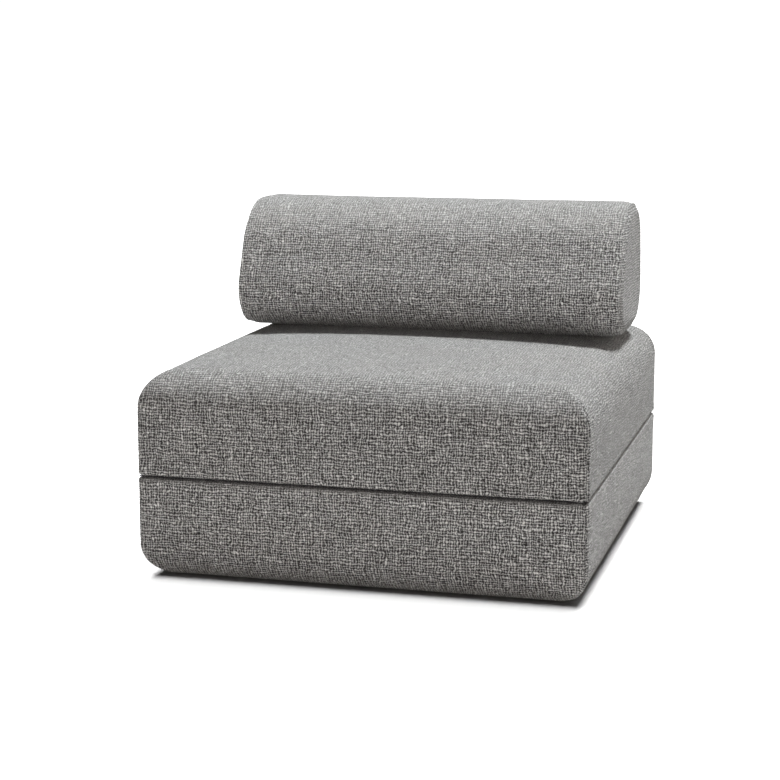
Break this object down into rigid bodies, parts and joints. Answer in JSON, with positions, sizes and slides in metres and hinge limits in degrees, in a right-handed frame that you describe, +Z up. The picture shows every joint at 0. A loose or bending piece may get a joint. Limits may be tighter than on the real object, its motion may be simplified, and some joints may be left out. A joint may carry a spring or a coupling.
{
  "type": "convertible chair bed",
  "caption": "Fold-out upholstered chair bed: stacked foam blocks hinged at the front edge so that the seat folds forward to make a single bed, with a loose domed back cushion.",
  "frame": {"origin": "centre of the base block's footprint, on the floor", "axes": "the front, the sitter's side, faces -Y; +X is to the right seen from the front; +Z is up"},
  "size_m": [0.9, 0.9542, 0.7138],
  "materials": {
    "tweed": "matte",
    "hinge_cloth": "matte",
    "grip_cloth": "matte",
    "hook_and_loop": "matte",
    "zip_cloth": "matte",
    "zip_metal": "satin",
    "wadding": "matte",
    "comfort_foam": "matte",
    "support_foam": "matte"
  },
  "bodies": {
    "base": {"base_foam_core": "support_foam", "base_comfort_foam": "comfort_foam", "base_wadding": "wadding", "base_cover_cap": "tweed", "base_sleep_panel": "tweed", "base_grip_panel": "grip_cloth", "base_hinge_band": "hinge_cloth", "base_zip_tape": "zip_cloth", "base_zip_coil": "zip_cloth"},
    "seat": {"seat_foam_core": "support_foam", "seat_comfort_foam": "comfort_foam", "seat_wadding": "wadding", "seat_cover_cap": "tweed", "seat_sleep_panel": "tweed", "seat_hinge_band": "hinge_cloth", "seat_loop_left": "hook_and_loop", "seat_loop_right": "hook_and_loop", "seat_zip_tape": "zip_cloth", "seat_zip_coil": "zip_cloth"},
    "backrest": {"backrest_foam_core": "support_foam", "backrest_wadding": "wadding", "backrest_cover_wrap": "tweed", "backrest_end_left": "tweed", "backrest_end_right": "tweed", "backrest_bottom_panel": "tweed", "backrest_hook_left": "hook_and_loop", "backrest_hook_right": "hook_and_loop", "backrest_zip_tape": "zip_cloth", "backrest_zip_coil": "zip_cloth"},
    "base_zip_slider": {"base_zip_slider": "zip_metal"},
    "base_zip_pull": {"base_zip_pull": "zip_metal"},
    "seat_zip_slider": {"seat_zip_slider": "zip_metal"},
    "seat_zip_pull": {"seat_zip_pull": "zip_metal"},
    "backrest_zip_slider": {"backrest_zip_slider": "zip_metal"},
    "backrest_zip_pull": {"backrest_zip_pull": "zip_metal"}
  },
  "joints": [
    {"name": "seat_fold", "type": "hinge", "parent": "base", "child": "seat", "pos_m": [0, -0.475, 0.21], "axis": [1, 0, 0], "range_deg": [0, 180]},
    {"name": "backrest_lift", "type": "slide", "parent": "seat", "child": "backrest", "axis": [0, 0, 1], "range_m": [0, 0.35]},
    {"name": "base_zip_slide", "type": "slide", "parent": "base", "child": "base_zip_slider", "axis": [-1, 0, 0], "range_m": [0, 0.792]},
    {"name": "base_zip_pull_swing", "type": "hinge", "parent": "base_zip_slider", "child": "base_zip_pull", "pos_m": [0.396, 0.4777, 0.158], "axis": [0, 0, 1], "range_deg": [-180, 0]},
    {"name": "seat_zip_slide", "type": "slide", "parent": "seat", "child": "seat_zip_slider", "axis": [-1, 0, 0], "range_m": [0, 0.792]},
    {"name": "seat_zip_pull_swing", "type": "hinge", "parent": "seat_zip_slider", "child": "seat_zip_pull", "pos_m": [0.396, 0.4777, 0.262], "axis": [0, 0, 1], "range_deg": [-180, 0]},
    {"name": "backrest_zip_slide", "type": "slide", "parent": "backrest", "child": "backrest_zip_slider", "axis": [-1, 0, 0], "range_m": [0, 0.732]},
    {"name": "backrest_zip_pull_swing", "type": "hinge", "parent": "backrest_zip_slider", "child": "backrest_zip_pull", "pos_m": [0.366, 0.3705, 0.53879], "axis": [0, -0.1172, 0.9931], "range_deg": [-180, 0]}
  ]
}
